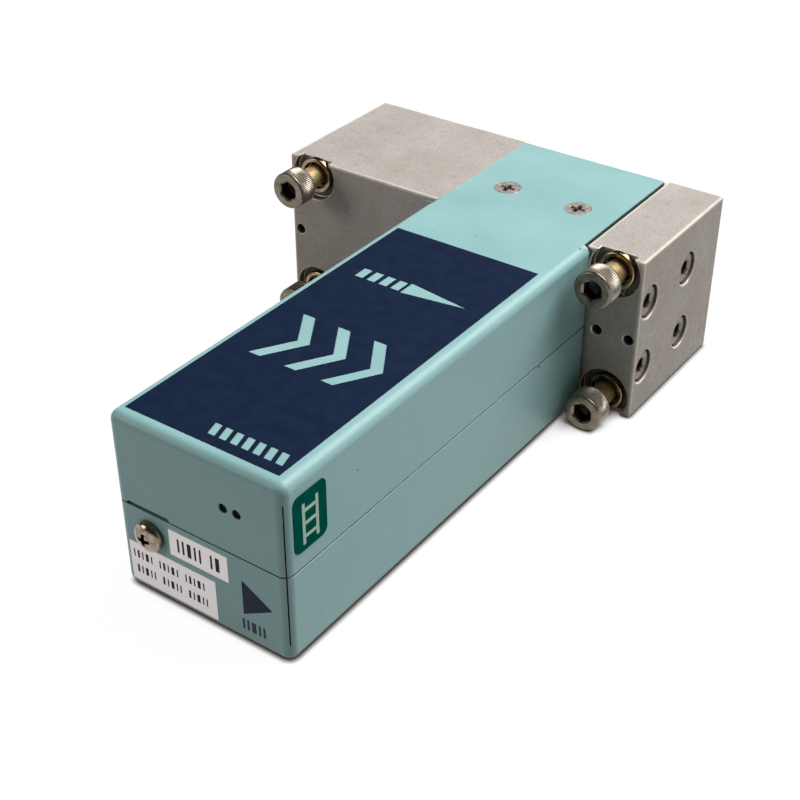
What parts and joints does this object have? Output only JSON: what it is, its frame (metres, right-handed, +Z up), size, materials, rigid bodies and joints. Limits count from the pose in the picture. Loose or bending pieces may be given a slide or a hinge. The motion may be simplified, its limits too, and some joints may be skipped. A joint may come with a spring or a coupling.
{
  "type": "mass flow controller",
  "caption": "Surface-mount gas mass flow controller: steel base block with two ports, and a long teal sheet-metal enclosure lying on its side",
  "frame": {"origin": "centre of the footprint on the resting surface, which is the lower cover's underside", "axes": "+X along the gas flow from the inlet block to the outlet block, +Y from the enclosure's free end to the mounting face with the ports, +Z up as it lies"},
  "size_m": [0.092, 0.1409, 0.0388],
  "materials": {
    "block_steel": "fine ground, matte",
    "cover_paint": "satin pale teal paint",
    "screw_steel": "satin, knurled heads",
    "ring_steel": "polished, slightly golden",
    "bright_screw": "bright nickel",
    "navy_film": "satin film",
    "green_film": "satin film",
    "white_paper": "matte paper label",
    "seat_plastic": "milky white",
    "bright_steel": "machined",
    "stack_ceramic": "dark coated ceramic",
    "gasket_metal": "soft metal",
    "board_green": "solder mask",
    "black_plastic": "moulded",
    "lamp_lens": "smoked lens",
    "spacer_brass": "turned",
    "pin_brass": "gilt",
    "lead_red": "flexible insulation"
  },
  "bodies": {
    "root": {"inlet_body": "block_steel", "outlet_block": "block_steel", "upper_cover": "cover_paint", "lower_cover": "cover_paint", "mounting_screws": "screw_steel", "screw_rings": "ring_steel", "outlet_screws": "screw_steel", "cover_screws": "bright_screw", "end_screw": "bright_screw", "top_label": "navy_film", "side_label": "green_film", "end_label_small": "white_paper", "end_label_large": "white_paper", "end_arrow_mark": "navy_film", "valve_seat": "seat_plastic", "valve_diaphragm": "bright_steel", "valve_bonnet": "bright_steel", "bonnet_screws": "screw_steel", "valve_stem": "bright_steel", "actuator_case": "bright_steel", "piezo_stack": "stack_ceramic", "actuator_cap": "bright_steel", "pressure_sensor": "bright_steel", "sensor_gasket": "gasket_metal", "orifice_gasket": "bright_steel", "temperature_sensor": "bright_steel", "chassis_bracket": "bright_steel", "bracket_screws": "bright_screw", "main_board": "board_green", "board_parts": "black_plastic", "interface_board": "board_green", "connector_board": "board_green", "board_spacers": "spacer_brass", "board_screws": "bright_screw", "board_header": "black_plastic", "indicator_lamps": "lamp_lens", "side_connector": "bright_screw", "connector_insert": "black_plastic", "connector_pins": "pin_brass", "connector_jacks": "bright_screw", "piezo_lead": "lead_red", "sensor_lead": "lead_red"}
  },
  "joints": []
}
